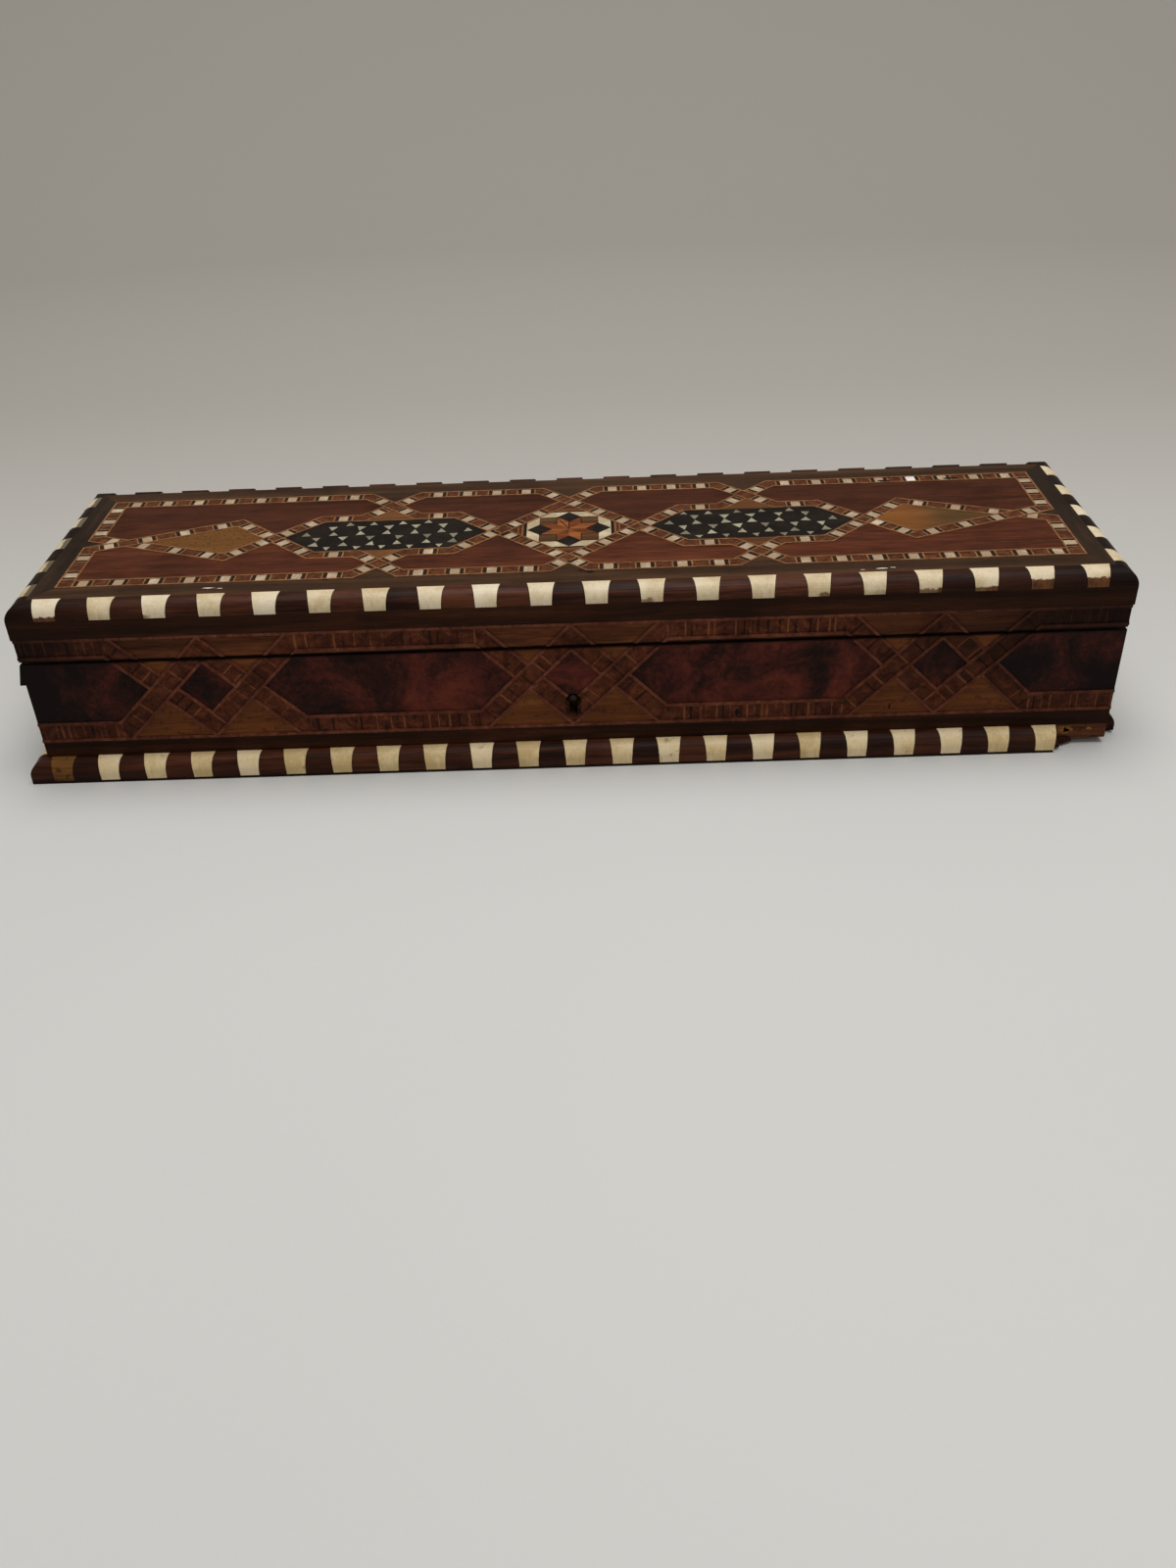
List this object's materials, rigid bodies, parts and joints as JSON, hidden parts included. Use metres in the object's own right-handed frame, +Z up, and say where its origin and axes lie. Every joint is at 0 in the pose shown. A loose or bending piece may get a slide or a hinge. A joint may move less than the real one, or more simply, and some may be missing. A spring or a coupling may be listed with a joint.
{
  "type": "marquetry box",
  "caption": "Low oblong wooden casket with a hinged lid, interlaced inlaid straps, blocked bone and rosewood edging and plinth, and a small lock.",
  "frame": {"origin": "on the floor, under the middle of the box's plinth", "axes": "+X along the box to the viewer's right, +Y from the front to the back, +Z up"},
  "size_m": [0.3088, 0.0908, 0.0534],
  "materials": {
    "carcase_wood": "plain old boards, worn satin",
    "rosewood": "polished, worn",
    "dark_border": "polished, worn",
    "mahogany": "polished, lengthwise grain",
    "burl": "polished burl",
    "tan_wood": "polished, faded",
    "orange_wood": "polished",
    "stringing_wood": "thin lines, slightly raised",
    "strap_wood": "polished, cross barred",
    "ebony": "dark, dull polish",
    "bone": "aged bone, satin",
    "old_bone": "yellowed bone, satin",
    "brass": "aged brass, satin",
    "iron": "dull iron"
  },
  "bodies": {
    "case": {"base_board": "carcase_wood", "case_front_wall": "carcase_wood", "case_back_wall": "carcase_wood", "case_left_wall": "carcase_wood", "case_right_wall": "carcase_wood", "case_back_veneer": "rosewood", "case_burl_panels": "burl", "case_strap_bands": "strap_wood", "case_stringing": "stringing_wood", "case_tan_triangles": "tan_wood", "case_foot_bands": "rosewood", "plinth_front_footing": "carcase_wood", "plinth_right_footing": "carcase_wood", "plinth_back_footing": "carcase_wood", "plinth_left_footing": "carcase_wood", "plinth_back_moulding": "rosewood", "plinth_filler_block": "tan_wood", "plinth_bone_blocks": "old_bone", "plinth_rosewood_blocks": "rosewood", "hinge_left_case_leaf": "brass", "hinge_right_case_leaf": "brass", "hinge_pins": "iron", "lock_plate": "brass", "lock_spring": "iron", "key_pin": "iron"},
    "lid": {"lid_top_board": "carcase_wood", "lid_front_rail": "carcase_wood", "lid_back_rail": "carcase_wood", "lid_left_rail": "carcase_wood", "lid_right_rail": "carcase_wood", "lid_front_rim": "rosewood", "lid_back_rim": "rosewood", "lid_end_rims": "rosewood", "lid_back_veneer": "rosewood", "lid_edge_bone_blocks": "bone", "lid_edge_rosewood_blocks": "rosewood", "lid_side_straps": "strap_wood", "lid_side_stringing": "stringing_wood", "lid_side_triangles": "tan_wood", "lid_strap_bone_slips": "bone", "lid_strap_rosewood_slips": "strap_wood", "lid_top_stringing": "stringing_wood", "lid_long_borders": "dark_border", "lid_end_borders": "dark_border", "lid_field_panels": "mahogany", "lid_kite_panels": "tan_wood", "lid_hexagon_grounds": "ebony", "lid_small_triangles": "tan_wood", "star_orange_rhombs": "orange_wood", "star_ebony_squares": "ebony", "star_brown_squares": "tan_wood", "star_bone_rhombs": "bone", "star_corner_triangles": "ebony", "hinge_left_lid_leaf": "brass", "hinge_right_lid_leaf": "brass", "catch_plate": "brass"},
    "bolt": {"lock_bolt": "iron"}
  },
  "joints": [
    {"name": "lid_hinge", "type": "hinge", "parent": "case", "child": "lid", "pos_m": [0, 0.0388, 0.0364], "axis": [-1, 0, 0], "range_deg": [0, 100]},
    {"name": "lock_slide", "type": "slide", "parent": "case", "child": "bolt", "axis": [-1, 0, 0], "range_m": [0, 0.003]}
  ]
}
